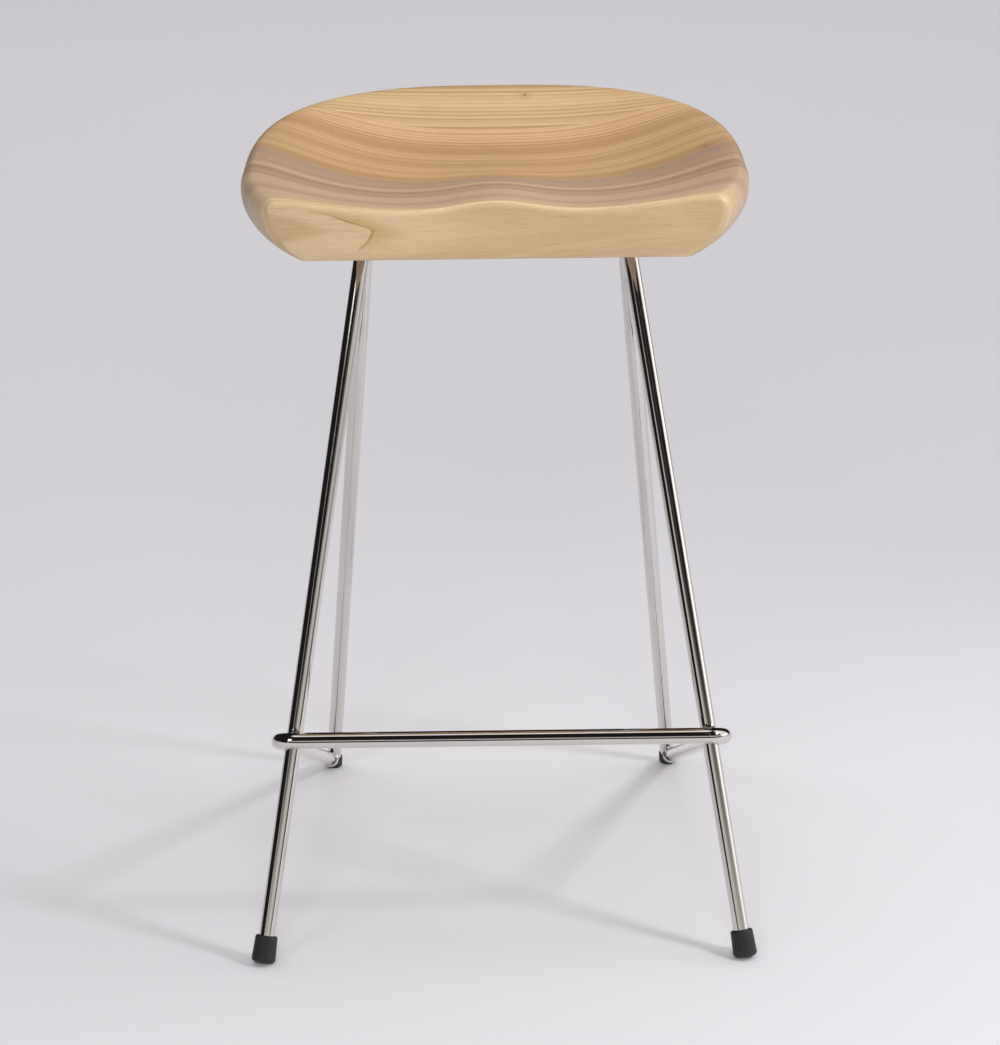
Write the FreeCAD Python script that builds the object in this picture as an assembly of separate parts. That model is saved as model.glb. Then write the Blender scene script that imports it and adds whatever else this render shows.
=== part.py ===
import FreeCAD, Part
import math
import os

# A counter stool: a carved wooden saddle seat glued up from staves, on a frame of bent steel rod.
# Millimetres. Z is up, X is across the seat, Y points to the back. The origin is on the floor,
# midway between the front and the rear feet.

Vec = FreeCAD.Vector
up = Vec(0, 0, 1)

# ---- frame ----
rod_dia = 13.5
front_foot_x, rear_foot_x = 204.5, 163.0   # where a leg's centre line meets the floor
foot_depth = 454.0                         # front feet to rear feet
top_x = 111.5                              # both ends of the short run below the seat
top_front_y, top_rear_y = -28.0, 47.0
top_bend = 22.0                            # centre-line radius of the two bends below the seat
weld_gap = 0.1                             # air between two rods that a bead joins

# ---- footrest ----
footrest_height = 183.0
footrest_end_height = 10.0                 # where a side arm ends on the rear leg, just off the floor
corner_clearance = 0.5                     # air between the footrest corner and the leg inside it
arm_end_outboard = 3.0                     # how far the arm's end sits outside the rear leg's axis
arm_end_bite = 1.0                         # how far the arm's end is notched round the leg

# ---- welds ----
bead_dia, bead_core_dia = 11.2, 4.8        # ring between the bar and a front leg
arm_bead, arm_bead_length = 1.2, 3.5       # how far the bead round an arm's end stands out and reaches
plate_bead_inset, plate_bead_height = 1.35, 3.7

# ---- foot caps: deep ones in front, shallow thin ones behind, under the arms' ends ----
cap_top_wall = {"front": 2.7, "rear": 1.2}  # rubber round the rod at the mouth
cap_bottom_wall = {"front": 3.45, "rear": 1.45}
cap_length = {"front": 23.0, "rear": 11.0}
cap_shoulder = {"front": 2.2, "rear": 0.9}  # rounding at the mouth
cap_bevel = {"front": 3.2, "rear": 2.6}    # bevel round the tread
cap_tread = {"front": 4.2, "rear": 2.6}    # rubber below the washer
floor_flat = {"front": 1.2, "rear": 0.9}   # how deep the floor cuts into the tilted tread
washer_past_rod = {"front": 0.95, "rear": -1.25}  # washer's radius less the rod's
washer_thick = 1.6
notch_gap = 0.2                            # air between a rear cap and the arm's end in its notch

# ---- mounting plates and screws ----
plate_thick, plate_width, plate_length = 4.0, 46.0, 100.0
plate_corner = 7.0
screw_dia, screw_length = 4.5, 14.0
screw_head_dia, screw_head_height = 8.6, 2.8
screw_drive, screw_drive_depth = 2.2, 1.4  # square driver recess
screw_hole_play = 0.5
screw_edge = 8.5                           # hole centre to the plate's edge

# ---- seat ----
seat_bottom = 594.0                        # flat underside above the floor
seat_half_width = 214.0
seat_centre_y = -20.0                      # where the seat is widest
seat_front_reach, seat_rear_reach = 285.0, 190.0
seat_front_y = -170.0                      # the sawn front face
front_squareness, rear_squareness = 2.2, 2.8
rim_side, rim_back = 646.0, 680.0          # crest height above the floor
rim_power = 1.3                            # how late the crest climbs on its way to the back
bowl_floor = 617.0
bowl_power, bowl_curl = 4, 1.6             # flatness of the bowl's middle, steepness near its crest
front_dip, front_climb_power = 632.0, 1.5  # floor height at the front face, and how late it climbs
climb_start = 40.0                         # the climb starts this far behind the seat's widest line
hump_front, hump_back, hump_width = 9.5, 8.0, 46.0
hump_end_y, hump_fade = 100.0, 120.0       # the hump has died away here, over this length
edge_drop = 13.0                           # crest down to the widest line
side_start = math.radians(35)              # slope at which the side wall leaves the underside
front_round = 6.0                          # rounding round the top and sides of the front face
crest_inset = 0.045                        # crest line, as a share of the way in from the edge
foot_inset = 0.13                          # underside outline, the same way
stave_joints = (-147.0, -62.0, 23.0, 118.0)
ring_points, side_rings, edge_rings, bowl_rings = 60, 9, 4, 26
bowl_centre_share = 0.03                   # size of the flat spot that closes the skin

rod_r = rod_dia / 2
front_y, rear_y = -foot_depth / 2, foot_depth / 2
plate_top = seat_bottom
rod_top = plate_top - plate_thick - rod_r  # axis height of the short run
both = (("left", -1), ("right", 1))

os.makedirs("parts", exist_ok=True)


def save(name, shape):
    shape.exportStep("parts/" + name + ".step")


def unit(v):
    return Vec(v).normalize()


def leg_ends(end, side):
    # bottom and top corner of a leg's centre line
    if end == "front":
        return Vec(side * front_foot_x, front_y, 0), Vec(side * top_x, top_front_y, rod_top)
    return Vec(side * rear_foot_x, rear_y, 0), Vec(side * top_x, top_rear_y, rod_top)


def leg_at(end, side, height):
    low, high = leg_ends(end, side)
    return low + (high - low) * (height / rod_top)


def rod_end(end, side):
    # the rod stops on the washer inside its cap
    low, high = leg_ends(end, side)
    return low + unit(high - low) * (cap_tread[end] + washer_thick - cap_drop(end, side))


def cap_drop(end, side):
    # how far the cap's lowest corner would pass the floor if its tread were centred on it
    low, high = leg_ends(end, side)
    lean = unit(high - low).getAngle(up)
    bevel, bottom_r = cap_bevel[end], rod_r + cap_bottom_wall[end]
    corner = max((bottom_r - bevel) * math.sin(lean), bottom_r * math.sin(lean) - bevel * math.cos(lean))
    return -(corner - floor_flat[end]) / math.cos(lean)


def bent_rod(points, radii):
    # a round rod along straight runs joined by arcs, its ends square
    edges, start = [], points[0]
    for here, after, radius in zip(points[1:-1], points[2:], radii):
        back, ahead = unit(start - here), unit(after - here)
        half = back.getAngle(ahead) / 2
        reach = radius / math.tan(half)
        centre = here + unit(back + ahead) * (radius / math.sin(half))
        first, last = here + back * reach, here + ahead * reach
        middle = centre - unit(back + ahead) * radius
        edges += [Part.makeLine(start, first), Part.Arc(first, middle, last).toShape()]
        start = last
    edges.append(Part.makeLine(start, points[-1]))
    heading = unit(points[1] - points[0])
    profile = Part.Wire([Part.makeCircle(rod_r, points[0], heading)])
    return Part.Wire(edges).makePipeShell([profile], True, False)


def revolved(outline, origin, axis):
    # a profile of (radius, height) corners turned about an axis
    face = Part.Face(Part.makePolygon([Vec(r, 0, h) for r, h in outline + outline[:1]]))
    solid = face.revolve(Vec(0, 0, 0), up, 360)
    solid.Placement = FreeCAD.Placement(origin, FreeCAD.Rotation(up, axis))
    return solid


# ---- side rods: front leg, short run under the seat and rear leg in one bent rod ----
side_rods = {}
for name, side in both:
    tops = [leg_ends(end, side)[1] for end in ("front", "rear")]
    route = [rod_end("front", side)] + tops + [rod_end("rear", side)]
    side_rods[name] = bent_rod(route, (top_bend, top_bend))

# ---- footrest: a bar in front of the front legs with an arm back to each rear leg ----
low, high = leg_ends("front", 1)
lean_back = math.atan2(high.y - low.y, high.z - low.z)
bar_y = leg_at("front", 1, footrest_height).y - (rod_dia + weld_gap) / math.cos(lean_back)
corner_bend = rod_dia + corner_clearance
corner_x = leg_at("front", 1, footrest_height).x + corner_bend


def arm_end(side):
    # the end bears on the front of the rear leg, a little outboard of its axis
    leg = leg_at("rear", side, footrest_end_height)
    return leg + Vec(side * arm_end_outboard, arm_end_bite - rod_r, 0)


def arm_heading(side):
    return unit(arm_end(side) - Vec(side * corner_x, bar_y, footrest_height))


bar_corners = [Vec(side * corner_x, bar_y, footrest_height) for side in (-1, 1)]
footrest = bent_rod([arm_end(-1)] + bar_corners + [arm_end(1)], (corner_bend, corner_bend))
for name, side in both:
    footrest = footrest.cut(side_rods[name])
save("footrest_rod", footrest)

# ---- foot caps and the washers moulded in them ----
cap_space = {}
for end in ("front", "rear"):
    top_r, bottom_r, length = rod_r + cap_top_wall[end], rod_r + cap_bottom_wall[end], cap_length[end]
    bevel, shoulder, tread = cap_bevel[end], cap_shoulder[end], cap_tread[end]
    outline = [(0, 0), (bottom_r - bevel, 0), (bottom_r - bevel * 0.3, bevel * 0.35), (bottom_r, bevel),
               (top_r, length - shoulder), (top_r - shoulder * 0.3, length - shoulder * 0.3),
               (top_r - shoulder * 0.9, length), (0, length)]
    for name, side in both:
        low, high = leg_ends(end, side)
        axis = unit(high - low)
        base = low - axis * cap_drop(end, side)
        bore = Part.makeCylinder(rod_r, length, base + axis * (tread + washer_thick), axis)
        washer = Part.makeCylinder(rod_r + washer_past_rod[end], washer_thick, base + axis * tread, axis)
        below = Part.makeBox(4 * bottom_r, 4 * bottom_r, length, Vec(base.x, base.y, -length)
                             - Vec(2 * bottom_r, 2 * bottom_r, 0))
        cap = revolved(outline, base, axis).cut(bore).cut(washer).cut(below)
        if end == "rear":
            heading = arm_heading(side)
            before = arm_end(side) - heading * 2 * rod_dia
            cap = cap.cut(Part.makeCylinder(rod_r + notch_gap, 2 * rod_dia + notch_gap, before, heading))
            cap_space[name] = Part.makeCylinder(bottom_r, length + weld_gap, base, axis)
        save("cap_" + end + "_" + name, cap)
        save("washer_" + end + "_" + name, washer)

# ---- mounting plates, one on each short run, held up by four screws ----
plate_y = (top_front_y + top_rear_y) / 2
screw_spots = [(dx * (plate_width / 2 - screw_edge), dy * (plate_length / 2 - screw_edge))
               for dx in (-1, 1) for dy in (-1, 1)]
pilots = []
for name, side in both:
    at = Vec(side * top_x, plate_y, plate_top - plate_thick)
    low = at - Vec(plate_width / 2, plate_length / 2, 0)
    plate = Part.makeBox(plate_width, plate_length, plate_thick, low)
    upright = [e for e in plate.Edges if abs(e.tangentAt(e.FirstParameter).z) > 0.9]
    plate = plate.makeFillet(plate_corner, upright)
    screws = []
    for dx, dy in screw_spots:
        spot = at + Vec(dx, dy, 0)
        plate = plate.cut(Part.makeCylinder((screw_dia + screw_hole_play) / 2, plate_thick, spot))
        head = Part.makeCylinder(screw_head_dia / 2, screw_head_height, spot - up * screw_head_height)
        rim = [e for e in head.Edges if e.BoundBox.ZMax < spot.z - screw_head_height * 0.9]
        head = head.makeFillet(screw_head_height * 0.5, rim)
        drive = Part.makeBox(screw_drive, screw_drive, screw_drive_depth,
                             spot - Vec(screw_drive / 2, screw_drive / 2, screw_head_height))
        shank = Part.makeCylinder(screw_dia / 2, screw_length - screw_dia, spot)
        point = Part.makeCone(screw_dia / 2, screw_dia / 8, screw_dia, spot + up * (screw_length - screw_dia))
        screws.append(head.cut(drive).fuse([shank, point]).removeSplitter())
        pilots += [shank, point]
    save("mounting_plate_" + name, plate.cut(side_rods[name]))
    save("screws_" + name, Part.makeCompound(screws))

# ---- weld beads: rings between crossing rods, a collar round each arm's end, strips under each plate ----
for name, side in both:
    low, high = leg_ends("front", side)
    outward = unit(Vec(1, 0, 0).cross(high - low))
    start = leg_at("front", side, footrest_height) + outward * (rod_r / 2)
    bead = Part.makeCylinder(bead_dia / 2, rod_r, start, outward)
    bead = bead.cut(Part.makeCylinder(bead_core_dia / 2, rod_r, start, outward))
    save("weld_front_" + name, bead.cut(side_rods[name]).cut(footrest))

    heading = arm_heading(side)
    start = arm_end(side) - heading * arm_bead_length
    bead = Part.makeCylinder(rod_r + arm_bead, arm_bead_length, start, heading)
    save("weld_rear_" + name, bead.cut(side_rods[name]).cut(footrest).cut(cap_space[name]))
    save(name + "_side_rod", side_rods[name])

    run = top_rear_y - top_front_y - 2 * top_bend
    bead_low = plate_top - plate_thick - plate_bead_height
    corner = Vec(side * top_x - rod_r + plate_bead_inset, plate_y - run / 2, bead_low)
    bead = Part.makeBox(rod_dia - 2 * plate_bead_inset, run, plate_bead_height, corner)
    save("weld_plate_" + name, bead.cut(side_rods[name]))

# ---- seat: one carved form, sawn flat in front and split at the glue lines into staves ----


def smooth(t):
    t = min(max(t, 0.0), 1.0)
    return t * t * (3 - 2 * t)


def edge_point(turn, share):
    # a point at a share of the way from the seat's centre to its plan outline, a superellipse
    c, s = math.cos(turn), math.sin(turn)
    reach = seat_rear_reach if s > 0 else seat_front_reach
    power = front_squareness + (rear_squareness - front_squareness) * smooth(0.5 + s)
    r = share * (abs(c / seat_half_width) ** power + abs(s / reach) ** power) ** (-1 / power)
    return r * c, seat_centre_y + r * s


def crest_height(y):
    # the rim is level along the sides and climbs to the back
    rise = max(0.0, (y - seat_centre_y) / seat_rear_reach)
    return rim_side + (rim_back - rim_side) * rise ** rim_power


def seat_top(turn, share):
    # bowl floor, rising to the crest along each radius, with a central hump in the front half
    x, y = edge_point(turn, share)
    rim_x, rim_y = edge_point(turn, 1 - crest_inset)
    q = share / (1 - crest_inset)
    forward = (seat_centre_y + climb_start - y) / (seat_centre_y + climb_start - seat_front_y)
    floor = bowl_floor + (front_dip - bowl_floor) * max(0.0, forward) ** front_climb_power
    hump = hump_back + (hump_front - hump_back) * smooth(forward)
    hump *= smooth((hump_end_y - y) / hump_fade) * math.exp(-(x / hump_width) ** 2)
    middle = 1 - q ** bowl_power
    return floor + (crest_height(rim_y) - floor) * (1 - middle ** bowl_curl) + hump * middle


def widest(turn):
    return crest_height(edge_point(turn, 1 - crest_inset)[1]) - edge_drop


def side_wall(turn, part):
    # convex wall from the underside out to the widest line
    a = side_start + (math.pi / 2 - side_start) * part
    share = 1 - foot_inset * (1 - math.sin(a)) / (1 - math.sin(side_start))
    fall = (widest(turn) - seat_bottom) * math.cos(a) / math.cos(side_start)
    return share, widest(turn) - fall


def rim(turn, part):
    # quarter round from the widest line up to the crest
    b = math.pi / 2 * part
    return 1 - crest_inset * (1 - math.cos(b)), widest(turn) + edge_drop * math.sin(b)


def bowl(turn, part):
    share = (1 - crest_inset) + (bowl_centre_share - (1 - crest_inset)) * part
    return share, seat_top(turn if part < 1 else 0, share)


def ring(section, part):
    points = []
    for i in range(ring_points + 1):
        turn = 2 * math.pi * (i % ring_points) / ring_points
        share, height = section(turn, part)
        points.append(Vec(*edge_point(turn, share), height))
    return points


rings = [ring(side_wall, i / side_rings) for i in range(side_rings)]
rings += [ring(rim, i / edge_rings) for i in range(edge_rings)]
rings += [ring(bowl, i / bowl_rings) for i in range(bowl_rings + 1)]
skin = Part.BSplineSurface()
skin.interpolate(rings)
side = skin.toShape()
ends = [e for e in side.Edges if e.isClosed() and e.BoundBox.ZLength < 0.01]
shell = Part.makeShell([side] + [Part.Face(Part.Wire([e])) for e in ends])
shell.sewShape()
seat = Part.Solid(shell)
room = seat_front_reach + seat_rear_reach  # more than the seat's size each way
front_space = Part.makeBox(2 * room, room, 2 * room, Vec(-room, seat_front_y - room, seat_bottom - room))
seat = seat.cut(front_space)
front_edge = max((e for e in seat.Edges if e.BoundBox.YMax < seat_front_y + 0.1), key=lambda e: e.Length)
seat = seat.makeFillet(front_round, [front_edge])
for pilot in pilots:
    seat = seat.cut(pilot)

joints = sorted(stave_joints)
limits = [seat_front_y - front_round] + joints + [seat_centre_y + seat_rear_reach + front_round]
for number, (near, far) in enumerate(zip(limits[:-1], limits[1:]), 1):
    slab = Part.makeBox(2 * room, far - near, 2 * room, Vec(-room, near, seat_bottom - room))
    save("seat_stave_%d" % number, seat.common(slab))
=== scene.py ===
import math
import bmesh
import bpy
import numpy as np
from mathutils import Matrix, Vector


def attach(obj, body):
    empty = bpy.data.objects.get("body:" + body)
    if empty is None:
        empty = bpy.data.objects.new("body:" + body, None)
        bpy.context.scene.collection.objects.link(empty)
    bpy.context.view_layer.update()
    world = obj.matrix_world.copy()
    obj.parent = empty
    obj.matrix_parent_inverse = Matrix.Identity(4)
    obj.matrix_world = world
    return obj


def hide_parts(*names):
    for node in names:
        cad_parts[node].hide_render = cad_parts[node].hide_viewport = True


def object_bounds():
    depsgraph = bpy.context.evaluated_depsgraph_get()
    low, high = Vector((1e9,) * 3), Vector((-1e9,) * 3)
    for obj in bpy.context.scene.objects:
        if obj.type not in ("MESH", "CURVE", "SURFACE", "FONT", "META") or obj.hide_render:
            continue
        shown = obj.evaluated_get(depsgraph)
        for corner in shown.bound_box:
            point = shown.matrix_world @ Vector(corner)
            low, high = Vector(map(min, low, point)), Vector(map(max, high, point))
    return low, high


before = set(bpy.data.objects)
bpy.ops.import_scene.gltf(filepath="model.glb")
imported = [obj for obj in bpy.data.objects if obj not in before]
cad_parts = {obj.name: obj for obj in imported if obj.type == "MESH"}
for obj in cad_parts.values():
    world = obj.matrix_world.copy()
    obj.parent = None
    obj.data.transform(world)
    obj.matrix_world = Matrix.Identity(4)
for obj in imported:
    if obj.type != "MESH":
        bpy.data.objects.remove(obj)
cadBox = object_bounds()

print("frame loaded")

# sizes are in metres, X across the seat, Y to its back, Z up from the floor


def gridFaces(rows, columns):
    # quads between each row and the next, wrapping round from the last column to the first
    r = np.arange(rows - 1)[:, None]
    c = np.arange(columns)[None, :]
    d = (c + 1) % columns
    here, below = r * columns, (r + 1) * columns
    return np.stack([here + c, here + d, below + d, below + c], axis=-1).reshape(-1, 4)


meshLook = dict(weld=2e-6, sliver=1e-7, creaseAngle=38)


def addSurface(name, grid, node, finish):
    # makes a grid of closed rows into one closed mesh: points closer than weld become one, which shuts
    # its poles, and edges turned by more than the crease angle stay sharp; it stands in for one CAD node
    mesh = bpy.data.meshes.new(name)
    mesh.from_pydata(grid.reshape(-1, 3).tolist(), [], gridFaces(*grid.shape[:2]).tolist())
    work = bmesh.new()
    work.from_mesh(mesh)
    bmesh.ops.remove_doubles(work, verts=work.verts, dist=meshLook["weld"])
    bmesh.ops.dissolve_degenerate(work, edges=work.edges, dist=meshLook["sliver"])
    bmesh.ops.recalc_face_normals(work, faces=work.faces)
    work.to_mesh(mesh)
    work.free()
    mesh.polygons.foreach_set("use_smooth", np.ones(len(mesh.polygons), dtype=bool))
    mesh.set_sharp_from_angle(angle=math.radians(meshLook["creaseAngle"]))
    mesh.materials.append(finish)
    piece = bpy.data.objects.new(name, mesh)
    bpy.context.collection.objects.link(piece)
    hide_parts(node)
    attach(piece, "root")


def softStep(t):
    # 3 t^2 - 2 t^3, held at 0 and 1 outside them
    t = np.clip(t, 0, 1)
    return t * t * (3 - 2 * t)


class Value:
    # a shader socket that ordinary arithmetic can be written with
    def __init__(self, tree, socket):
        self.tree, self.socket = tree, socket

    def math(self, operation, other=0.0, swap=False):
        node = self.tree.nodes.new("ShaderNodeMath")
        node.operation = operation
        values = [other, self] if swap else [self, other]
        for i, value in enumerate(values):
            if isinstance(value, Value):
                self.tree.links.new(value.socket, node.inputs[i])
            else:
                node.inputs[i].default_value = value
        return Value(self.tree, node.outputs[0])

    def __add__(self, other): return self.math("ADD", other)
    def __radd__(self, other): return self.math("ADD", other)
    def __sub__(self, other): return self.math("SUBTRACT", other)
    def __rsub__(self, other): return self.math("SUBTRACT", other, swap=True)
    def __mul__(self, other): return self.math("MULTIPLY", other)
    def __rmul__(self, other): return self.math("MULTIPLY", other)
    def __truediv__(self, other): return self.math("DIVIDE", other)
    def __rtruediv__(self, other): return self.math("DIVIDE", other, swap=True)
    def __pow__(self, other): return self.math("POWER", other)

    def clamp(self):
        return self.math("MINIMUM", 1.0).math("MAXIMUM", 0.0)

    def between(self, low, high):
        # 0 below low, 1 above high, smooth between
        node = self.tree.nodes.new("ShaderNodeMapRange")
        node.interpolation_type = "SMOOTHSTEP"
        self.tree.links.new(self.socket, node.inputs["Value"])
        node.inputs["From Min"].default_value = low
        node.inputs["From Max"].default_value = high
        return Value(self.tree, node.outputs["Result"])


class Finish:
    # one material, or the world, with one way to add any node
    def __init__(self, owner):
        owner.use_nodes = True
        self.material, self.tree = owner, owner.node_tree
        kind = "BACKGROUND" if isinstance(owner, bpy.types.World) else "BSDF_PRINCIPLED"
        self.shader = next(n for n in self.tree.nodes if n.type == kind)

    def add(self, kind, settings=None, sockets=None, out=0):
        # a node of this type: its settings come first, then its sockets by name or number
        node = self.tree.nodes.new(kind)
        for key, value in (settings or {}).items():
            setattr(node, key, value)
        for key, value in (sockets or {}).items():
            self.feed(node.inputs[key], value)
        return Value(self.tree, node.outputs[out])

    def feed(self, socket, value):
        if isinstance(value, Value):
            self.tree.links.new(value.socket, socket)
        elif hasattr(value, "__len__") and socket.type == "RGBA" and len(value) == 3:
            socket.default_value = (*value, 1)
        else:
            socket.default_value = value

    def set(self, **values):
        # BaseColor=... feeds the shader's Base Color, and so on
        for key, value in values.items():
            words = "".join(" " + c if c.isupper() else c for c in key)
            self.feed(self.shader.inputs[words.strip()], value)

    def place(self):
        return self.add("ShaderNodeTexCoord", out="Object")

    def split(self, vector):
        node = self.add("ShaderNodeSeparateXYZ", sockets={"Vector": vector}).socket.node
        return [Value(self.tree, s) for s in node.outputs]

    def join(self, x, y, z):
        return self.add("ShaderNodeCombineXYZ", sockets={"X": x, "Y": y, "Z": z})

    def stretch(self, vector, scale):
        return self.add("ShaderNodeVectorMath", {"operation": "MULTIPLY"}, {0: vector, 1: scale})

    def noise(self, vector, scale, detail=2.0, rough=0.5, kind="3D"):
        where = {"W": vector} if kind == "1D" else {"Vector": vector}
        return self.add("ShaderNodeTexNoise", {"noise_dimensions": kind},
                        {**where, "Scale": scale, "Detail": detail, "Roughness": rough})

    def blend(self, factor, first, second, kind="MIX"):
        return self.add("ShaderNodeMix", {"data_type": "RGBA", "blend_type": kind},
                        {0: factor, 6: first, 7: second}, out=2)

    def bump(self, height, distance, strength):
        self.set(Normal=self.add("ShaderNodeBump", sockets={"Height": height, "Distance": distance,
                                                            "Strength": strength}))


def newFinish(name):
    return Finish(bpy.data.materials.new(name))


# every stave: pith is the ring centre (y, z), ring the growth ring's width, taper how far rings drift
# along the board, shift where in a ring the count starts, late, bands, pores and fine the strengths of
# those marks, fineness how close the fine lines lie, pale, dark and tint the early wood, the late wood
# and the slow bands, seed its own pattern
staveLooks = {
    1: dict(pith=(-0.060, 0.6195), ring=0.0048, taper=0.016, shift=0.0, late=0.42, bands=0.40, pores=1.0,
            fineness=380.0, fine=0.20,
            pale=(0.71, 0.540, 0.345), dark=(0.40, 0.235, 0.105), tint=(0.60, 0.415, 0.220), seed=3.0),
    2: dict(pith=(-0.900, 0.560), ring=0.0052, taper=0.004, shift=0.2, late=0.42, bands=0.85, pores=0.5,
            fineness=560.0, fine=0.42,
            pale=(0.71, 0.535, 0.355), dark=(0.36, 0.225, 0.140), tint=(0.52, 0.360, 0.245), seed=11.0),
    3: dict(pith=(-0.800, 0.600), ring=0.0056, taper=0.003, shift=0.4, late=0.50, bands=1.0, pores=0.5,
            fineness=520.0, fine=0.42,
            pale=(0.66, 0.475, 0.295), dark=(0.30, 0.180, 0.110), tint=(0.39, 0.255, 0.175), seed=23.0),
    4: dict(pith=(1.100, 0.700), ring=0.0034, taper=0.003, shift=0.1, late=0.60, bands=1.0, pores=0.5,
            fineness=620.0, fine=0.45,
            pale=(0.70, 0.465, 0.240), dark=(0.34, 0.180, 0.072), tint=(0.46, 0.280, 0.140), seed=31.0),
    5: dict(pith=(-0.550, 0.000), ring=0.0062, taper=0.002, shift=0.6, late=0.80, bands=0.30, pores=0.6,
            fineness=500.0, fine=0.25,
            pale=(0.63, 0.440, 0.240), dark=(0.36, 0.200, 0.080), tint=(0.57, 0.375, 0.185), seed=43.0),
}
woodLook = dict(
    wander=0.0036, ripple=0.0009, unevenRings=1.8, poreLength=0.014, poreWidth=0.0006, poreShade=0.28,
    streakShade=0.16, fibreShade=0.24, cloudShade=0.20, rough=0.44, coat=0.16, coatRough=0.34,
    bumpHeight=0.00018, knots=((0.028, 0.1485, 0.0017), (0.1825, 0.0285, 0.0024)),   # x, y and size
    knotTone=(0.22, 0.10, 0.045),
    rimStart=0.155, rimEnd=0.214, rimShade=0.20, rimTone=(0.42, 0.28, 0.19),
    browning=(-0.010, 0.012), brownTone=(0.31, 0.200, 0.150))
# noise scales of the marks along the board and across it
woodScales = dict(wander=(4, 22, 22), ripple=(14, 150, 150), streak=(22, 420, 420), fibre=(28, 1100, 1100),
                  cloud=(6, 14, 14), uneven=60.0, band=36.0, slowBand=13.0)
# the levels between which a mark goes from unseen to full; late wood starts and ends within each ring
woodLevels = dict(lateStart=(0.30, 0.86), lateEnd=(0.90, 1.0), band=(0.36, 0.64), slowBand=(0.35, 0.65),
                  fine=(0.42, 0.62), pore=(0.56, 0.72), streak=(0.52, 0.75))
flameLook = dict(tipX=-0.098, tipZ=0.6195, spread=1.9, lean=1.1, blunt=0.0012, near=0.006, far=0.022,
                 fade=0.030, edge=0.0014, waver=0.010, shadeTone=(0.55, 0.330, 0.140),
                 lineTone=(0.36, 0.190, 0.085))


def flameMark(f, x, z, place):
    # a tongue of older wood: a lopsided chevron, x = tip - spread * sqrt(rise^2 + blunt^2) - lean * rise,
    # whose edge is a thin broken brown line, with shade beyond it
    rise = z - flameLook["tipZ"]
    waver = (f.noise(place, 70.0, 3.0) - 0.5) * flameLook["waver"]
    arm = (rise * rise + flameLook["blunt"] ** 2) ** 0.5
    past = x - flameLook["tipX"] + arm * flameLook["spread"] + rise * flameLook["lean"] + waver
    edge = flameLook["edge"]
    line = past.between(-edge, 0.0) * (1 - past.between(edge * 0.5, edge * 3))
    shade = past.between(-edge, edge) * (1 - past.between(edge, flameLook["fade"]))
    patch = f.noise(place, 45.0, 2.0).between(0.3, 0.6)
    close = 1 - arm.between(flameLook["near"], flameLook["far"])
    return line * close * (patch * 0.45 + 0.40), shade * close * (patch * 0.5 + 0.5) * 0.85


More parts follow.
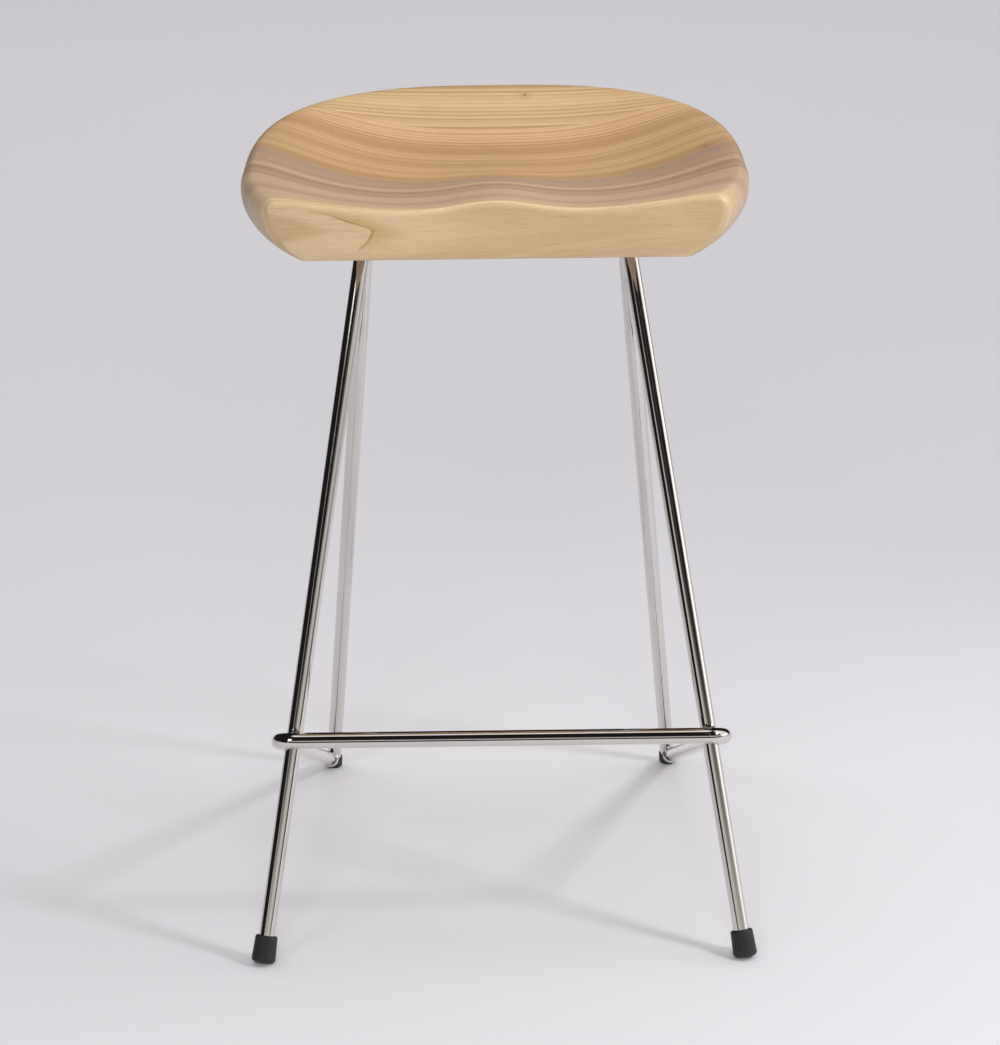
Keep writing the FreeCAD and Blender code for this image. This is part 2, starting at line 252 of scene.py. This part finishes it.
def woodFinish(number, look):
    # depth = distance from a pith line along the board + taper * x + slow noise; ring count = depth / ring;
    # each ring goes from pale early wood to a dark late-wood line, and bands, pores and fibres lie over it
    f = newFinish("oiledWood%d" % number)
    place = f.place()
    shifted = f.add("ShaderNodeVectorMath", {"operation": "ADD"}, {0: place, 1: (look["seed"], 0, 0)})
    x, y, z = f.split(place)
    wander = f.noise(f.stretch(shifted, woodScales["wander"]), 1.0, 2.0) - 0.5
    ripple = f.noise(f.stretch(shifted, woodScales["ripple"]), 1.0, 1.0) - 0.5
    far = f.add("ShaderNodeVectorMath", {"operation": "LENGTH"},
                {0: f.join(0.0, y - look["pith"][0], z - look["pith"][1])}, out=1)
    depth = far + x * look["taper"] + wander * woodLook["wander"] + ripple * woodLook["ripple"]
    uneven = f.noise(depth + look["seed"], woodScales["uneven"], 1.0, kind="1D") - 0.5
    count = depth / look["ring"] + uneven * woodLook["unevenRings"] + look["shift"]
    inRing = count.math("FRACT")
    late = inRing.between(*woodLevels["lateStart"]) * (1 - inRing.between(*woodLevels["lateEnd"]))
    which = f.add("ShaderNodeTexWhiteNoise", {"noise_dimensions": "1D"}, {"W": count.math("FLOOR")})
    late = late * (which * 0.65 + 0.35)
    band = f.noise(depth + look["seed"], woodScales["band"], 2.5, 0.6, kind="1D")
    band = band.between(*woodLevels["band"])
    slowBand = f.noise(depth + look["seed"] * 2, woodScales["slowBand"], 1.0, kind="1D")
    slowBand = slowBand.between(*woodLevels["slowBand"])
    fine = f.noise(depth + look["seed"] * 3, look["fineness"], 2.0, 0.6, kind="1D")
    fine = fine.between(*woodLevels["fine"])
    tone = f.blend(band * look["bands"], look["pale"], look["tint"])
    tone = f.blend(slowBand * (look["bands"] * 0.45), tone, look["tint"])
    tone = f.blend(fine * look["fine"], tone, look["dark"])
    tone = f.blend(late * look["late"], tone, look["dark"])
    length, width = woodLook["poreLength"], woodLook["poreWidth"]
    pore = f.noise(f.stretch(shifted, (1 / length, 1 / width, 1 / width)), 1.0, 1.0)
    pore = pore.between(*woodLevels["pore"]) * look["pores"]
    streak = f.noise(f.stretch(shifted, woodScales["streak"]), 1.0, 2.0, 0.6)
    streak = streak.between(*woodLevels["streak"])
    fibre = f.noise(f.stretch(shifted, woodScales["fibre"]), 1.0, 3.0, 0.65) - 0.5
    cloud = f.noise(f.stretch(shifted, woodScales["cloud"]), 1.0, 2.0) - 0.5
    tone = f.blend(pore * woodLook["poreShade"] + streak * woodLook["streakShade"], tone, look["dark"])
    rim = x.math("ABSOLUTE").between(woodLook["rimStart"], woodLook["rimEnd"])
    tone = f.blend(rim * woodLook["rimShade"], tone, woodLook["rimTone"])
    for knotX, knotY, size in woodLook["knots"]:
        gap = f.add("ShaderNodeVectorMath", {"operation": "LENGTH"},
                    {0: f.join((x - knotX) * 0.6, y - knotY, 0.0)}, out=1)
        tone = f.blend((1 - gap.between(size * 0.3, size)) * 0.75, tone, woodLook["knotTone"])
        tone = f.blend((1 - gap.between(size, size * 3.5)) * 0.25, tone, look["dark"])
    if number == 3:
        brown = (y + wander * 0.010).between(*woodLook["browning"]) * (fine * 0.30 + 0.32)
        tone = f.blend(brown, tone, woodLook["brownTone"])
    if number == 1:
        line, shade = flameMark(f, x, z, place)
        tone = f.blend(shade, tone, flameLook["shadeTone"])
        tone = f.blend(line, tone, flameLook["lineTone"])
    level = 1.0 + fibre * woodLook["fibreShade"] + cloud * woodLook["cloudShade"]
    tone = f.blend(1.0, tone, f.join(level, level, level), "MULTIPLY")
    f.set(BaseColor=tone, Roughness=(woodLook["rough"] + fibre * 0.12 + pore * 0.15).clamp())
    f.shader.inputs["Coat Weight"].default_value = woodLook["coat"]
    f.shader.inputs["Coat Roughness"].default_value = woodLook["coatRough"]
    f.bump(fibre * 0.35 - pore * 0.8 + late * 0.3, woodLook["bumpHeight"], 0.5)
    return f.material


chromeLook = dict(tone=(0.70, 0.675, 0.650), stain=(0.56, 0.53, 0.51), rough=0.045, haze=0.05)


def chromeFinish(name, look):
    # bright plate with faint haze patches and fine polishing marks
    f = newFinish(name)
    place = f.place()
    haze = f.noise(place, 38.0, 3.0, 0.6)
    marks = f.noise(f.stretch(place, (900, 900, 90)), 1.0, 2.0)
    f.set(BaseColor=f.blend(haze.between(0.3, 0.8) * 0.12, look["tone"], look["stain"]), Metallic=1.0,
          Roughness=look["rough"] + haze.between(0.45, 0.75) * look["haze"] + marks * 0.02)
    f.bump(marks + haze * 2, 0.00001, 0.25)
    return f.material


steelLook = dict(tone=(0.55, 0.55, 0.56), stain=(0.42, 0.41, 0.40), rough=0.32)


def steelFinish(name, look):
    # plated flat steel with drawn lines along Y
    f = newFinish(name)
    place = f.place()
    lines = f.noise(f.stretch(place, (1400, 40, 1400)), 1.0, 2.0)
    stain = f.noise(place, 60.0, 3.0)
    f.set(BaseColor=f.blend(stain * 0.35, look["tone"], look["stain"]), Metallic=1.0,
          Roughness=look["rough"] + lines * 0.18)
    f.bump(lines, 0.00004, 0.4)
    return f.material


rubberLook = dict(tone=(0.012, 0.012, 0.013), worn=(0.030, 0.029, 0.029), rough=0.5)


def rubberFinish(name, look):
    # moulded black rubber, faintly grained, paler and rougher in patches, most of all within 12 mm of the
    # tread
    f = newFinish(name)
    place = f.place()
    grain = f.noise(place, 1800.0, 2.0)
    smear = f.noise(place, 220.0, 3.0, 0.6)
    height = f.split(place)[2]
    # paler, rougher patches in the lowest 12 mm next to the tread, on top of the faint patches all over
    nearTread = (1 - height.between(0.0, 0.012)) * smear
    f.set(BaseColor=f.blend((nearTread * 0.7 + smear * 0.15).clamp(), look["tone"], look["worn"]),
          Roughness=(look["rough"] + smear * 0.18 + nearTread * 0.15).clamp())
    f.bump(grain * 0.5 + smear, 0.00012, 0.5)
    return f.material


rodChrome = chromeFinish("rodChrome", chromeLook)
weldChrome = chromeFinish("weldChrome", dict(chromeLook, rough=0.11, haze=0.08))
plateSteel = steelFinish("plateSteel", steelLook)
screwSteel = steelFinish("screwSteel", dict(steelLook, tone=(0.62, 0.58, 0.48), rough=0.26))
capRubber = rubberFinish("capRubber", rubberLook)
print("materials made")

# the seat: a carved bowl on a superellipse outline, cut into five staves

seat = dict(
    bottom=0.594, halfWidth=0.214, centreY=-0.020, frontReach=0.285, rearReach=0.190, frontY=-0.170,
    frontPower=2.2, rearPower=2.8, rimSide=0.646, rimBack=0.680, rimPower=1.3, bowlFloor=0.617,
    bowlPower=4, bowlCurl=1.6, frontDip=0.632, climbStart=0.040, climbPower=1.5,
    humpFront=0.0095, humpBack=0.008, humpWidth=0.046, humpEnd=0.100, humpFade=0.120,
    crestInset=0.045, footInset=0.13, edgeDrop=0.013, sideStart=math.radians(35),
    frontRound=0.006, sharpHeight=0.016, sharpShare=0.2,
    joints=(-0.147, -0.062, 0.023, 0.118), across=170, rowGap=0.0025, backRows=48, roundRows=9)


def outlinePower(turn):
    # the superellipse's power: frontPower ahead of the centre and rearPower behind it, passing smoothly
    # from one to the other while the direction's sine goes from -0.5 to 0.5
    return seat["frontPower"] + (seat["rearPower"] - seat["frontPower"]) * softStep(0.5 + np.sin(turn))


def outlineReach(turn):
    # half length of the outline, which differs in front and behind
    return np.where(np.sin(turn) > 0, seat["rearReach"], seat["frontReach"])


def seatShare(x, y):
    # (|x / halfWidth|^p + |y / reach|^p)^(1/p), which is 1 on the outline, and the direction
    turn = np.arctan2(y - seat["centreY"], x)
    power = outlinePower(turn)
    share = (np.abs(x / seat["halfWidth"]) ** power
             + np.abs((y - seat["centreY"]) / outlineReach(turn)) ** power) ** (1 / power)
    return np.minimum(share, 1.0), turn


def crestLine(turn):
    # crest height: level along the sides, rising as a power of the distance towards the back
    power = outlinePower(turn)
    c, s = np.cos(turn), np.sin(turn)
    r = (1 - seat["crestInset"]) * (np.abs(c / seat["halfWidth"]) ** power
                                    + np.abs(s / outlineReach(turn)) ** power) ** (-1 / power)
    rise = np.maximum(0, r * s / seat["rearReach"])
    return seat["rimSide"] + (seat["rimBack"] - seat["rimSide"]) * rise ** seat["rimPower"]


def seatTop(x, y):
    # bowl = floor + (crest - floor) * (1 - (1 - q^bowlPower)^bowlCurl) + ridge * (1 - q^bowlPower), where
    # q is the share of the way to the crest; outside the crest a quarter ellipse drops to the widest line
    share, turn = seatShare(x, y)
    crest = crestLine(turn)
    q = np.minimum(share / (1 - seat["crestInset"]), 1.0)
    climb = seat["centreY"] + seat["climbStart"]
    forward = (climb - y) / (climb - seat["frontY"])
    lift = np.maximum(0, forward) ** seat["climbPower"]
    floor = seat["bowlFloor"] + (seat["frontDip"] - seat["bowlFloor"]) * lift
    ridge = seat["humpBack"] + (seat["humpFront"] - seat["humpBack"]) * softStep(forward)
    ridge = ridge * softStep((seat["humpEnd"] - y) / seat["humpFade"]) * np.exp(-(x / seat["humpWidth"]) ** 2)
    inner = 1 - q ** seat["bowlPower"]
    bowl = floor + (crest - floor) * (1 - inner ** seat["bowlCurl"]) + ridge * inner
    away = np.clip(1 - (1 - share) / seat["crestInset"], 0, 1)
    edge = crest - seat["edgeDrop"] * (1 - np.sqrt(1 - away ** 2))
    return np.where(share > 1 - seat["crestInset"], edge, bowl)


def seatUnder(x, y):
    # flat underside, then a wall that leaves it at sideStart and climbs to the widest line as the cosine
    # of an angle whose sine grows evenly with the share
    share, turn = seatShare(x, y)
    wide = crestLine(turn) - seat["edgeDrop"]
    sine = np.clip(1 - (1 - share) * (1 - math.sin(seat["sideStart"])) / seat["footInset"], 0, 1)
    wall = wide - (wide - seat["bottom"]) * np.sqrt(1 - sine ** 2) / math.cos(seat["sideStart"])
    return np.where(share < 1 - seat["footInset"], seat["bottom"], wall)


def halfWidthAt(y):
    # where the outline crosses each y, by repeated substitution of the direction
    x = np.full_like(y, seat["halfWidth"] * 0.7)
    for _ in range(30):
        turn = np.arctan2(y - seat["centreY"], x)
        power = outlinePower(turn)
        rest = 1 - np.abs((y - seat["centreY"]) / outlineReach(turn)) ** power
        x = 0.5 * x + 0.5 * seat["halfWidth"] * np.maximum(rest, 0) ** (1 / power)
    return np.where(y >= seat["centreY"] + seat["rearReach"] - 1e-6, 0.0, x)


def sectionRows(y):
    # closed cross-sections at each y: along the top from left to right and back along the underside
    swing = np.linspace(-math.pi / 2, math.pi / 2, seat["across"])
    x = halfWidthAt(y)[:, None] * np.sin(swing)[None, :]
    yy = np.broadcast_to(y[:, None], x.shape)
    top, low = seatTop(x, yy), seatUnder(x, yy)
    low[:, 0] = top[:, 0] = (top[:, 0] + low[:, 0]) / 2
    low[:, -1] = top[:, -1] = (top[:, -1] + low[:, -1]) / 2
    over = np.stack([x, yy, top], axis=-1)
    below = np.stack([x, yy, low], axis=-1)[:, -2:0:-1]
    return np.concatenate([over, below], axis=1)


def closingRow(row):
    # the row collapsed to its own middle line, which closes a flat end
    n = seat["across"]
    mirror = np.concatenate([row[:1], row[:n - 1:-1], row[n - 1:n], row[n - 2:0:-1]])
    return (row + mirror) / 2


def insetRow(row, distance):
    # the section moved inwards along its own normals, by sharpShare of the distance at the underside,
    # whose corner stays sharp, up to all of it above sharpHeight
    ahead = np.roll(row, -1, axis=0) - np.roll(row, 1, axis=0)
    normal = np.stack([-ahead[:, 2], np.zeros(len(row)), ahead[:, 0]], axis=-1)
    normal /= np.linalg.norm(normal, axis=1)[:, None] + 1e-12
    least = seat["sharpShare"]
    share = least + (1 - least) * softStep((row[:, 2:] - seat["bottom"]) / seat["sharpHeight"])
    return row - normal * distance * share


def buildStaves():
    # each stave is the run of sections between two joints; the first has its front edge rounded by
    # r * (1 - cos b) over r * (1 - sin b), and the last has its rows closer together towards the back
    edges = [seat["frontY"]] + list(seat["joints"]) + [seat["centreY"] + seat["rearReach"]]
    r = seat["frontRound"]
    for number, (near, far) in enumerate(zip(edges[:-1], edges[1:]), 1):
        count = int((far - near) / seat["rowGap"])
        if number == 1:
            near += r
        y = np.linspace(near, far, count)
        if number == len(staveLooks):
            start = math.asin((near - seat["centreY"]) / seat["rearReach"])
            swing = np.linspace(start, math.pi / 2, seat["backRows"])
            y = seat["centreY"] + seat["rearReach"] * np.sin(swing)
        rows = sectionRows(y)
        if number == 1:
            bend = np.linspace(math.pi / 2, 0, seat["roundRows"])[:-1]
            lead = sectionRows(seat["frontY"] + r * (1 - np.sin(bend)))
            lead = np.stack([insetRow(row, r * (1 - math.cos(b))) for row, b in zip(lead, bend)])
            rows = np.concatenate([lead, rows])
        first, last = closingRow(rows[0])[None], closingRow(rows[-1])[None]
        rows = np.concatenate([first, (first + rows[:1]) / 2, rows, (last + rows[-1:]) / 2, last])
        addSurface("seatStave%d" % number, rows, "seat_stave_%d" % number,
                   woodFinish(number, staveLooks[number]))
        print("stave", number)


buildStaves()

# the two side rods and the footrest rod, bent from round bar

rod = dict(radius=0.00675, frontFoot=(0.2045, -0.227), rearFoot=(0.163, 0.227), topX=0.1115,
           topFront=-0.028, topRear=0.047, topZ=0.58325, topBend=0.022, barZ=0.183, armEndZ=0.010,
           cornerBend=0.014, armOut=0.003, armBite=0.001, gap=0.0001, legEase=0.0008, barEase=0.0022,
           sides=48, rowGap=0.012, bendRows=14, easeRows=6)


def unit(v):
    v = np.asarray(v, float)
    return v / np.linalg.norm(v)


def legEnds(end, side):
    # where a leg's centre line meets the floor and the run under the seat
    foot = rod[end + "Foot"]
    topY = rod["topFront"] if end == "front" else rod["topRear"]
    return np.array([side * foot[0], foot[1], 0.0]), np.array([side * rod["topX"], topY, rod["topZ"]])


def legAt(end, side, height):
    low, high = legEnds(end, side)
    return low + (high - low) * height / rod["topZ"]


def straightRun(start, end):
    steps = max(2, int(np.linalg.norm(end - start) / rod["rowGap"]))
    return start + (end - start) * np.linspace(0, 1, steps)[:, None]


def roundedPath(corners, bend):
    # straight runs joined by arcs that touch both runs: each arc's centre lies bend / sin(half the angle)
    # from its corner, and each run stops bend / tan(half the angle) short of it
    parts, start = [], corners[0]
    for here, after in zip(corners[1:-1], corners[2:]):
        back, ahead = unit(start - here), unit(after - here)
        half = math.acos(float(back @ ahead)) / 2
        reach, out = bend / math.tan(half), unit(back + ahead)
        centre = here + out * (bend / math.sin(half))
        first = here + back * reach
        u = unit(first - centre)
        v = unit(-out - u * float(-out @ u))
        sweep = np.linspace(0, math.pi - 2 * half, rod["bendRows"])[:, None]
        parts.append(straightRun(start, first)[:-1])
        parts.append(centre + bend * (np.cos(sweep) * u + np.sin(sweep) * v))
        start = parts[-1][-1]
    parts.append(straightRun(start, corners[-1])[1:])
    return np.concatenate(parts)


def roundBar(path, across, ease):
    # a circle of points, radius * (cos u * right + sin u * over), carried along the path and square to
    # it; ease rounds the edge of both ends over that length
    radius = rod["radius"]
    tangent = np.gradient(path, axis=0)
    tangent /= np.linalg.norm(tangent, axis=1)[:, None]
    right = across - tangent * (tangent @ across)[:, None]
    right /= np.linalg.norm(right, axis=1)[:, None]
    over = np.cross(tangent, right)
    turn = np.linspace(0, 2 * math.pi, rod["sides"], endpoint=False)
    ring = np.cos(turn)[None, :, None] * right[:, None] + np.sin(turn)[None, :, None] * over[:, None]
    bend = np.linspace(0, math.pi / 2, rod["easeRows"])
    shrink = np.concatenate([[0.0], (radius - ease + ease * np.sin(bend)) / radius])
    back = np.concatenate([[0.0], ease * (1 - np.cos(bend))])
    body = path[:, None] + ring * radius
    head = (path[0] + tangent[0] * back[:, None])[:, None] + ring[:1] * radius * shrink[:, None, None]
    tail = (path[-1] - tangent[-1] * back[:, None])[:, None] + ring[-1:] * radius * shrink[:, None, None]
    return np.concatenate([head, body[1:-1], tail[::-1]])


def capAxis(end, side):
    # the middle of a cap's tilted tread, placed so that its lowest edge is cut flat by the floor, and the
    # leg's direction
    low, high = legEnds(end, side)
    axis = unit(high - low)
    lean = math.acos(axis[2])
    c = capShapes[end]
    corner = max((c["bottomRadius"] - c["bevel"]) * math.sin(lean),
                 c["bottomRadius"] * math.sin(lean) - c["bevel"] * math.cos(lean))
    return low + axis * (corner - c["flat"]) / math.cos(lean), axis


capShapes = dict(
    front=dict(topRadius=0.00945, bottomRadius=0.0102, length=0.023, shoulder=0.0022, bevel=0.0032,
               tread=0.0058, flat=0.0012),
    rear=dict(topRadius=0.00795, bottomRadius=0.0082, length=0.011, shoulder=0.0009, bevel=0.0026,
              tread=0.0042, flat=0.0009))


def barLine():
    # the footrest's corner in x, and its y, where it clears the front of the front legs by the gap
    low, high = legEnds("front", 1)
    lean = math.atan2(high[1] - low[1], high[2] - low[2])
    at = legAt("front", 1, rod["barZ"])
    return at[0] + rod["cornerBend"], at[1] - (2 * rod["radius"] + rod["gap"]) / math.cos(lean)


def armEnd(side):
    # where an arm's centre line ends: armBite behind the front line of its rear leg, armOut outside it
    leg = legAt("rear", side, rod["armEndZ"])
    return leg + np.array([side * rod["armOut"], rod["armBite"] - rod["radius"], 0])


def buildRods():
    for name, side in (("left", -1), ("right", 1)):
        ends = [capAxis(end, side)[0] + capAxis(end, side)[1] * capShapes[end]["tread"]
                for end in ("front", "rear")]
        corners = [ends[0], legEnds("front", side)[1], legEnds("rear", side)[1], ends[1]]
        bar = roundBar(roundedPath(corners, rod["topBend"]), np.array([1.0, 0, 0]), rod["legEase"])
        addSurface(name + "SideRod", bar, name + "_side_rod", rodChrome)
    cornerX, barY = barLine()
    leftCorner, rightCorner = (np.array([x, barY, rod["barZ"]]) for x in (-cornerX, cornerX))
    corners = [armEnd(-1), leftCorner, rightCorner, armEnd(1)]
    plane = unit(np.cross(rightCorner - leftCorner, corners[3] - rightCorner))
    bar = roundBar(roundedPath(corners, rod["cornerBend"]), plane, rod["barEase"])
    addSurface("footrestRod", bar, "footrest_rod", rodChrome)


buildRods()
print("rods made")


def turned(outline, base, axis, sides):
    # a profile of (radius, height) points turned about an axis through the base
    a = unit(np.cross(axis, [0, 1.0, 0]))
    b = np.cross(axis, a)
    turn = np.linspace(0, 2 * math.pi, sides, endpoint=False)
    ring = np.cos(turn)[:, None] * a + np.sin(turn)[:, None] * b
    outline = np.asarray(outline)
    return base + outline[:, :1, None] * ring[None] + outline[:, 1:, None] * axis


# the weld beads that join the rods

weldShape = dict(waist=0.0050, flare=0.0057, toe=0.95, sink=0.0008, around=48, rows=12, collar=0.0017,
                 collarReach=0.0035, collarBite=0.0006, collarRows=9)


def weldFillet(contact, outward, a, barDir):
    # rings round the normal shared by two crossing rods, from the leg's surface (t = 0) to the bar's
    # (t = 1): half width = waist + (flare - waist) * (2t - 1)^2, longer below by a toe down the leg
    r = rod["radius"]
    b = np.cross(outward, a)
    turn = np.linspace(0, 2 * math.pi, weldShape["around"], endpoint=False)[None, :]
    t = np.linspace(0, 1, weldShape["rows"])[:, None]
    wide = weldShape["waist"] + (weldShape["flare"] - weldShape["waist"]) * (2 * t - 1) ** 2
    toe = 1 + weldShape["toe"] * (1 - t) * np.clip(-np.cos(turn), 0, 1)
    spot = wide[..., None] * ((toe * np.cos(turn))[..., None] * a + np.sin(turn)[..., None] * b)
    onLeg = -(r - np.sqrt(r * r - np.sum(spot * b, axis=-1) ** 2)) - weldShape["sink"]
    offBar = np.minimum(np.sum(spot * np.cross(outward, barDir), axis=-1) ** 2, r * r * 0.98)
    onBar = r - np.sqrt(r * r - offBar) + weldShape["sink"]
    grid = contact + spot + (onLeg * (1 - t) + onBar * t)[..., None] * outward
    low = grid[:1].mean(axis=1, keepdims=True).repeat(grid.shape[1], axis=1)
    high = grid[-1:].mean(axis=1, keepdims=True).repeat(grid.shape[1], axis=1)
    return np.concatenate([low, grid, high])


def endCollar(tip, arm):
    # a low bead turned round the arm's end: half a flattened circle carried round the rod
    bend = np.linspace(0, math.pi, weldShape["collarRows"])
    radii = rod["radius"] - weldShape["collarBite"] + weldShape["collar"] * np.sin(bend)
    outline = np.stack([radii, weldShape["collarReach"] * (1 - np.cos(bend)) / 2], axis=-1)
    closed = np.concatenate([[[0.0, 0.0]], outline, [[0.0, weldShape["collarReach"]]]])
    return turned(closed, tip, arm, weldShape["around"])


def buildWelds():
    # a fillet where the bar crosses each front leg, and a collar where each arm ends on a rear leg
    cornerX, barY = barLine()
    barDir = np.array([1.0, 0, 0])
    for name, side in (("left", -1), ("right", 1)):
        low, high = legEnds("front", side)
        along = unit(high - low)
        outward = unit(np.cross(along, barDir))
        outward = outward if outward[1] < 0 else -outward
        contact = legAt("front", side, rod["barZ"]) + outward * rod["radius"]
        addSurface("frontWeld_" + name, weldFillet(contact, outward, along, barDir),
                   "weld_front_" + name, weldChrome)
        tip = armEnd(side)
        arm = unit(np.array([side * cornerX, barY, rod["barZ"]]) - tip)
        addSurface("rearWeld_" + name, endCollar(tip, arm), "weld_rear_" + name, weldChrome)


buildWelds()
print("welds made")

# the rubber caps on the four legs

capFit = dict(grip=0.0001, mouthDrop=0.0006, air=0.0002, treadEdge=0.001, sides=64, bevelRows=9, wallRows=8,
              mouthRows=8, mouthTurn=100)


def arcPoints(centre, radius, start, stop, count):
    bend = np.radians(np.linspace(start, stop, count))
    return np.stack([centre[0] + radius * np.cos(bend), centre[1] + radius * np.sin(bend)], axis=-1)


def buildCaps():
    # tread with a rounded bevel, tapered wall, rolled mouth and a bore that grips the rod, turned about
    # the leg and cut flat at the floor
    for end in ("front", "rear"):
        c = capShapes[end]
        for name, side in (("left", -1), ("right", 1)):
            base, axis = capAxis(end, side)
            flatEdge, bore = c["bottomRadius"] - c["bevel"], rod["radius"] - capFit["grip"]
            shoulderZ, floorZ = c["length"] - c["shoulder"], c["tread"] + capFit["air"]
            tread = [[0.0, 0.0], [flatEdge - capFit["treadEdge"], 0.0]]
            bevel = arcPoints((flatEdge, c["bevel"]), c["bevel"], -90, 0, capFit["bevelRows"])
            wall = np.linspace([c["bottomRadius"], c["bevel"]], [c["topRadius"], shoulderZ],
                               capFit["wallRows"])[1:-1]
            mouth = arcPoints((c["topRadius"] - c["shoulder"], shoulderZ), c["shoulder"],
                              0, capFit["mouthTurn"], capFit["mouthRows"])
            inside = [[bore, c["length"] - capFit["mouthDrop"]], [bore, floorZ], [0.0, floorZ]]
            grid = turned(np.concatenate([tread, bevel, wall, mouth, inside]), base, axis, capFit["sides"])
            grid[..., 2] = np.maximum(grid[..., 2], 0.0)
            grid[..., 1] = np.clip(grid[..., 1], cadBox[0][1], cadBox[1][1])
            addSurface("footCap_%s_%s" % (end, name), grid, "cap_%s_%s" % (end, name),
                       capRubber)


buildCaps()
print("caps made")

# CAD nodes that keep their own shape get these finishes

keptFinishes = dict(mounting_plate_=plateSteel, screws_=screwSteel, weld_plate_=weldChrome,
                    washer_front_=plateSteel, washer_rear_=plateSteel)
for nodeStart, finish in keptFinishes.items():
    for name in ("left", "right"):
        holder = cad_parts[nodeStart + name]
        holder.data.materials.clear()
        holder.data.materials.append(finish)

# floor, light and camera

stageLook = dict(floorTone=(0.70, 0.69, 0.725), floorRough=0.55, floorFront=-0.85, floorBack=12.0,
                 floorHalf=9.0, unevenness=0.02, speckle=0.012, speckleRough=0.05, shine=0.25)


def floorFinish():
    # pale painted floor with very slow, faint unevenness
    f = newFinish("paleFloor")
    place = f.place()
    slow = f.noise(place, 1.3, 2.0) - 0.5
    fine = f.noise(place, 240.0, 2.0) - 0.5
    level = 1.0 + slow * stageLook["unevenness"] + fine * stageLook["speckle"]
    f.set(BaseColor=f.blend(1.0, stageLook["floorTone"], f.join(level, level, level), "MULTIPLY"),
          Roughness=stageLook["floorRough"] + fine * stageLook["speckleRough"])
    f.shader.inputs["Specular IOR Level"].default_value = stageLook["shine"]
    return f.material


def buildFloor():
    half, near, far = stageLook["floorHalf"], stageLook["floorFront"], stageLook["floorBack"]
    mesh = bpy.data.meshes.new("floor")
    mesh.from_pydata([(-half, near, 0), (half, near, 0), (half, far, 0), (-half, far, 0)], [], [(0, 1, 2, 3)])
    mesh.materials.append(floorFinish())
    floor = bpy.data.objects.new("floor", mesh)
    bpy.context.collection.objects.link(floor)


# soft lights in watts; only the key panel is mirrored, and the sky panels below stand for the rest
lightLooks = [
    dict(name="keyPanel", spot=(1.25, -0.68, 1.30), target=(0, 0, 0.25), size=(0.26, 0.26), power=12,
         mirrored=True),
    dict(name="fillPanel", spot=(-1.5, -1.6, 1.6), target=(0, 0, 0.3), size=(0.5, 0.5), power=5,
         mirrored=False),
    dict(name="overheadPanel", spot=(0.0, 4.2, 4.6), target=(0, 4.2, 0), size=(11.0, 9.0), power=360,
         mirrored=False),
    dict(name="frontPanel", spot=(-0.2, -3.4, 1.9), target=(0, 0, 0.6), size=(1.6, 1.2), power=62,
         mirrored=False),
]


def buildLights():
    for look in lightLooks:
        lamp = bpy.data.lights.new(look["name"], "AREA")
        lamp.shape, lamp.energy = "RECTANGLE", look["power"]
        lamp.size, lamp.size_y = look["size"]
        holder = bpy.data.objects.new(look["name"], lamp)
        holder.location = look["spot"]
        aim = Vector(look["target"]) - holder.location
        holder.rotation_euler = aim.to_track_quat("-Z", "Y").to_euler()
        holder.visible_glossy = look["mirrored"]
        bpy.context.collection.objects.link(holder)


# soft panels the polished rods mirror: each is a patch of sky given by its bearing from straight
# ahead of the seat (positive to the right), its height, its half sizes, all in degrees, and brightness
skyPanels = [
    dict(bearing=40, height=9, wide=75, tall=6.5, bright=0.62, soft=4),
    dict(bearing=95, height=32, wide=26, tall=34, bright=1.0, soft=7),
    dict(bearing=-34, height=26, wide=3.5, tall=34, bright=0.34, soft=3),
    dict(bearing=14, height=30, wide=1.6, tall=30, bright=0.20, soft=3),
    dict(bearing=-30, height=31, wide=9, tall=5, bright=5.0, soft=2),
    dict(bearing=0, height=90, wide=400, tall=13, bright=1.15, soft=5),
]
skyDark, skyTone = (0.014, 0.013, 0.014), (1.0, 0.965, 0.93)


def buildSky():
    # dark studio with soft-edged panels: each patch is a product of two smooth steps of bearing and height
    world = bpy.data.worlds.new("studio")
    bpy.context.scene.world = world
    sky = Finish(world)
    x, y, z = sky.split(sky.add("ShaderNodeTexCoord", out="Generated"))
    bearing = x.math("ARCTAN2", y * -1.0) * (180 / math.pi)
    height = z.math("ARCSINE") * (180 / math.pi)
    total = 0.0
    for p in skyPanels:
        across = (bearing - p["bearing"]).math("ABSOLUTE")
        above = (height - p["height"]).math("ABSOLUTE")
        inside = ((1 - across.between(p["wide"] - p["soft"], p["wide"] + p["soft"]))
                  * (1 - above.between(p["tall"] - p["soft"], p["tall"] + p["soft"])))
        total = inside * p["bright"] + total
    glow = sky.add("ShaderNodeVectorMath", {"operation": "MULTIPLY_ADD"},
                   {0: sky.join(total, total, total), 1: skyTone, 2: skyDark})
    sky.set(Color=glow)


buildFloor()
buildSky()
buildLights()
bpy.context.scene.view_settings.view_transform = "Standard"

cameraLook = dict(spot=(-0.0082, -2.8248, 1.2055), pitch=17.45, yaw=0.19, roll=-0.64, lens=120.74)


def buildCamera():
    pitch, yaw, roll = (math.radians(cameraLook[k]) for k in ("pitch", "yaw", "roll"))
    ahead = Vector((math.sin(yaw) * math.cos(pitch), math.cos(yaw) * math.cos(pitch), -math.sin(pitch)))
    right = Vector((math.cos(yaw), -math.sin(yaw), 0))
    over = right.cross(ahead)
    across = right * math.cos(roll) + over * math.sin(roll)
    upward = over * math.cos(roll) - right * math.sin(roll)
    lens = bpy.data.cameras.new("studioCamera")
    lens.sensor_fit, lens.sensor_width, lens.lens = "HORIZONTAL", 36, cameraLook["lens"]
    lens.clip_end = 100
    holder = bpy.data.objects.new("studioCamera", lens)
    holder.matrix_world = Matrix((across, upward, -ahead)).transposed().to_4x4()
    holder.location = cameraLook["spot"]
    bpy.context.collection.objects.link(holder)
    bpy.context.scene.camera = holder


buildCamera()
print("stage made")
